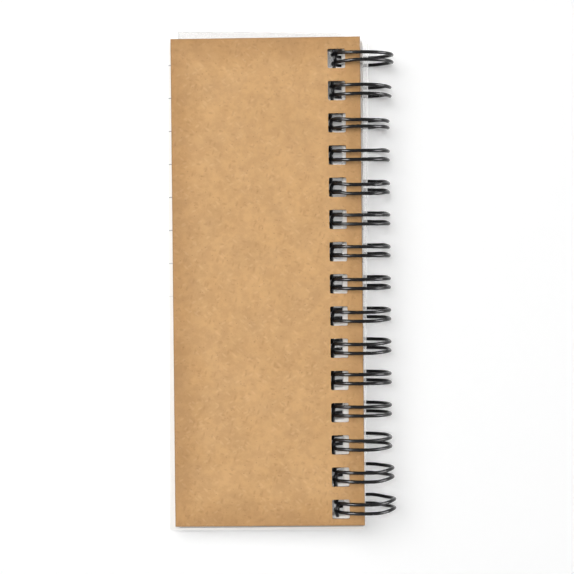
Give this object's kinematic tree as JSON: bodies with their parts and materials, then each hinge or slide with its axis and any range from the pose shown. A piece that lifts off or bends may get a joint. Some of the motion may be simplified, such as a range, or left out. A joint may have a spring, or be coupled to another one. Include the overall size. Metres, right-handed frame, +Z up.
{
  "type": "notepad",
  "caption": "Tall narrow wire-bound notepad with ruled pages, a kraft board back cover and a frosted plastic front cover; both covers fold open round the twin-loop wire.",
  "frame": {"origin": "on the ground, in the middle of the bounding box, with the pad lying on its front cover", "axes": "+Y along the binding wire towards the pad's head, +X from the fore-edge across to the wire, +Z up out of the kraft back cover"},
  "size_m": [0.0604, 0.1332, 0.0167],
  "materials": {
    "binding_wire": "black nylon-type coating, satin gloss",
    "page_block": "white wide-ruled writing paper",
    "back_cover": "uncoated brown kraft board with fine fibre flecks",
    "front_cover": "frosted translucent plastic sheet"
  },
  "bodies": {
    "pad": {"page_block": "page_block", "binding_wire": "binding_wire"},
    "back_cover": {"back_cover": "back_cover"},
    "front_cover": {"front_cover": "front_cover"}
  },
  "joints": [
    {"name": "back_cover_hinge", "type": "hinge", "parent": "pad", "child": "back_cover", "pos_m": [0.02169, -0.0014, 0.0084], "axis": [0, 1, 0], "range_deg": [0, 180]},
    {"name": "front_cover_hinge", "type": "hinge", "parent": "pad", "child": "front_cover", "pos_m": [0.02124, -0.0014, 0.00838], "axis": [0, -1, 0], "range_deg": [0, 180]}
  ]
}
